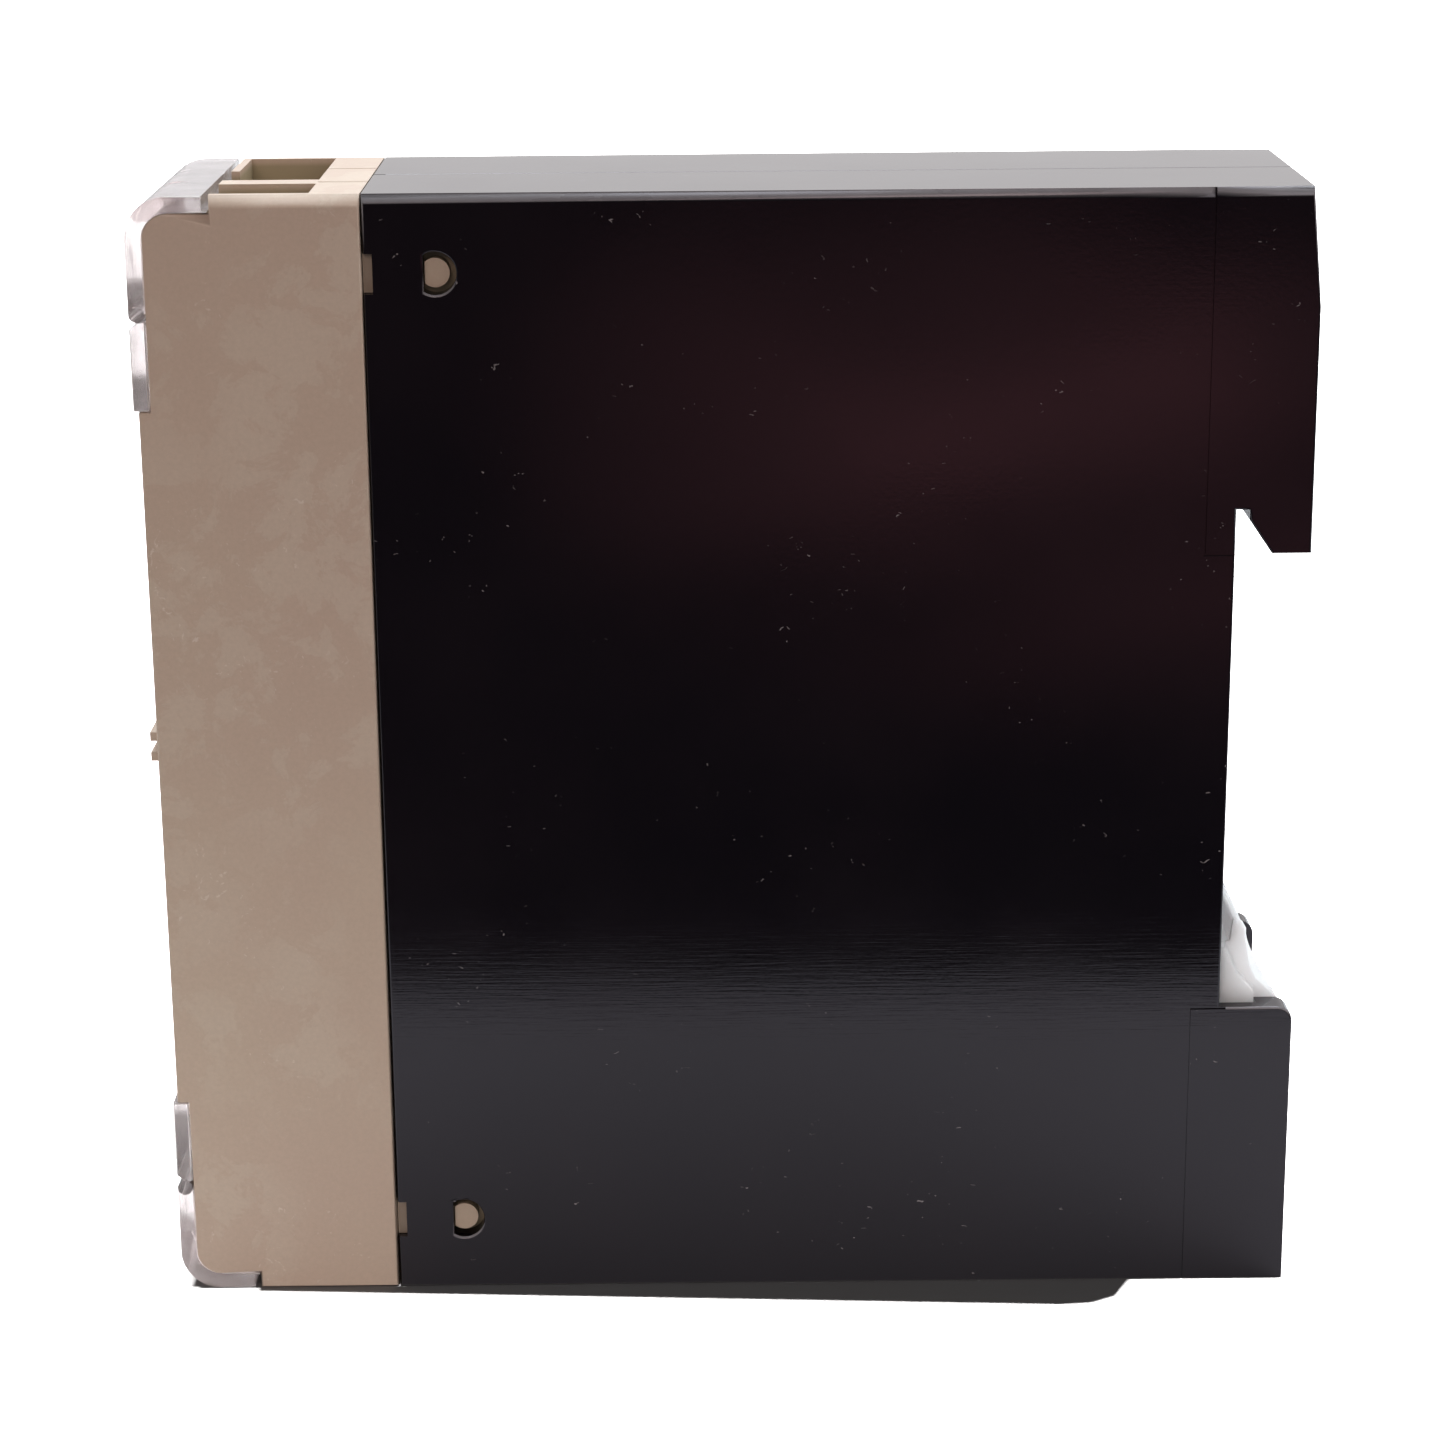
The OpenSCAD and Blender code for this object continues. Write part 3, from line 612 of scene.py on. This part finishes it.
def carve(piece, *boxes):
    """Cuts boxes, each given by two corners, out of a piece."""
    cutter = add("cutter", bpy.data.meshes.new("cutter"))
    for low, high in boxes:
        append_mesh(cutter, box_mesh("box", low, high))
    cut = piece.modifiers.new("cut", "BOOLEAN")
    cut.operation = "DIFFERENCE"
    cut.solver = "EXACT"
    cut.object = cutter
    bake(piece)
    bpy.data.objects.remove(cutter)


def bake(piece):
    """Applies a piece's modifiers."""
    bpy.context.view_layer.update()
    shaped = piece.evaluated_get(bpy.context.evaluated_depsgraph_get())
    mesh = bpy.data.meshes.new_from_object(shaped)
    piece.modifiers.clear()
    piece.data = mesh


def settle(piece, node, slot, body):
    """Gives a piece its material, body and slot, and lets it stand for its node."""
    piece.data.materials.clear()
    piece.data.materials.append(materials[slot])
    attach(piece, body)
    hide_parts(node)
    return piece


def slot_of(node):
    """The record's slot of a node, which its imported material is named after."""
    return nodes[node].data.materials[0].name.split(".")[0]


def body_of(node):
    """The body that a node rides on."""
    return nodes[node]["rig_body"]


def append_mesh(piece, mesh):
    """Adds a closed mesh to a piece as a loose part."""
    shape = bmesh.new()
    shape.from_mesh(piece.data)
    shape.from_mesh(mesh)
    shape.to_mesh(piece.data)
    shape.free()
    bpy.data.meshes.remove(mesh)


def mirrored_places():
    """The near and far sides with their inward directions, each for the upper and the lower half."""
    for side_y, inward in ((NEAR_Y, 1), (FAR_Y, -1)):
        for level in (1, -1):
            yield side_y, inward, level


def add_latch_tabs(piece):
    """The frame's small snap tabs show in the notches at the front edges of the shells."""
    notch_z, notch_h, notch_w = 5.9 * MM, 3 * MM, 0.7 * MM
    overlap, play = 0.05 * MM, 0.04 * MM
    for side_y, inward, level in mirrored_places():
        z = TOP_Z - notch_z if level > 0 else notch_z
        y0, y1 = sorted((side_y + inward * 0.62 * MM, side_y + inward * 0.90 * MM))
        low = (SEAM_X - overlap, y0, z - notch_h / 2 + play)
        high = (SEAM_X + notch_w - overlap, y1, z + notch_h / 2 - play)
        append_mesh(piece, box_mesh("tab", low, high))


def slit_cover(piece, level):
    """Slits and a small vent over a hinged cover's corner, and a step at the end of its leg."""
    low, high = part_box(piece.name.removesuffix("_look"))
    pitch = (FAR_Y - NEAR_Y) / 3
    past_divider, slit_w, clear = 0.9 * MM, 0.14 * MM, 1 * MM
    vent_x0, vent_x1, vent_d = low.x + 2.3 * MM, low.x + 3.2 * MM, 2 * MM
    step_w, step_d = 0.42 * MM, 1.1 * MM
    edge_z = high.z if level > 0 else low.z

    def span(depth):
        """From clear of the outer face to a depth below it."""
        return sorted((edge_z + level * clear, edge_z - level * depth))

    slits = []
    for column, reach in ((1, 2.6 * MM), (2, 1.6 * MM)):
        y = NEAR_Y + column * pitch + past_divider
        z0, z1 = span(reach)
        slits.append(((low.x - clear, y, z0), (low.x + 1.2 * MM + reach, y + slit_w, z1)))
    y = NEAR_Y + pitch + past_divider
    z0, z1 = span(vent_d)
    vent = ((vent_x0, y - 0.35 * MM, z0), (vent_x1, y + 0.4 * MM, z1))
    z0, z1 = span(step_d)
    step = ((high.x - step_w, low.y - clear, z0), (high.x + clear, high.y + clear, z1))
    carve(piece, *slits)
    carve(piece, vent)
    carve(piece, step)


def line_columns(piece):
    """Fine lines part the terminal columns behind the wire entries, on the top and on the base."""
    line_w, line_d, run, clear = 0.14 * MM, 0.3 * MM, 3.8 * MM, 1 * MM
    cuts = []
    for surface_z, outward in ((TOP_Z, 1), (0, -1)):
        z0, z1 = sorted((surface_z + outward * clear, surface_z - outward * line_d))
        for from_near in (7 * MM, 15 * MM):
            y = NEAR_Y + from_near
            cuts.append(((SEAM_X - run, y, z0), (SEAM_X + 0.05 * MM, y + line_w, z1)))
    carve(piece, *cuts)


def part_shells(piece):
    """The parting line opens a little where it meets the frame."""
    half_w, run, depth = 0.11 * MM, 0.9 * MM, 0.5 * MM
    low = (SEAM_X - 0.1 * MM, MID_Y - half_w, TOP_Z - depth)
    high = (SEAM_X + run, MID_Y + half_w, TOP_Z + 1 * MM)
    carve(piece, (low, high))


def make_spring():
    """The clip's spring as a smooth shaded copy of its node, on the same body. Nothing here shortens it as
    the clip slides down.
    """
    spring = add("clip_spring_look", mesh_from(smooth_shape("clip_spring"), "clip_spring_look"))
    settle(spring, "clip_spring", slots["clip_spring"], body_of("clip_spring"))
    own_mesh(spring)
    return spring


# ---- The scene ----

slots = {name: slot_of(name) for name in nodes}
for imported in list(bpy.data.materials):
    imported.name = "imported_" + imported.name
make_camera()
floor = make_stage()
flag = make_flag()
materials = make_materials()

ROUNDED = {
    "housing_shell_near": outer_edges(side=0.2, crown=0.75, parting=0.1),
    "housing_shell_far": outer_edges(side=0.2, crown=0.75, parting=0.1),
    "front_frame": outer_edges(side=0.2, crown=1.0, least_mm=1.0),
    "upper_cover_strip": all_edges(0.12),
    "upper_cover_flap": all_edges(0.12),
    "lower_cover_strip": all_edges(0.12),
    "lower_cover_flap": all_edges(0.12),
    "rail_clip": all_edges(0.15),
    "name_plate": all_edges(0.08),
}
looks = {}
for node, radius_of in ROUNDED.items():
    looks[node] = settle(refined(node, radius_of), node, slots[node], body_of(node))
line_columns(looks["front_frame"])
add_latch_tabs(looks["front_frame"])
part_shells(looks["housing_shell_near"])
part_shells(looks["housing_shell_far"])
slit_cover(looks["upper_cover_flap"], 1)
slit_cover(looks["lower_cover_flap"], -1)
looks["clip_spring"] = make_spring()

for name, node in nodes.items():
    if name not in looks:
        node.data.materials.clear()
        node.data.materials.append(materials[slots[name]])

make_lights(floor, flag)
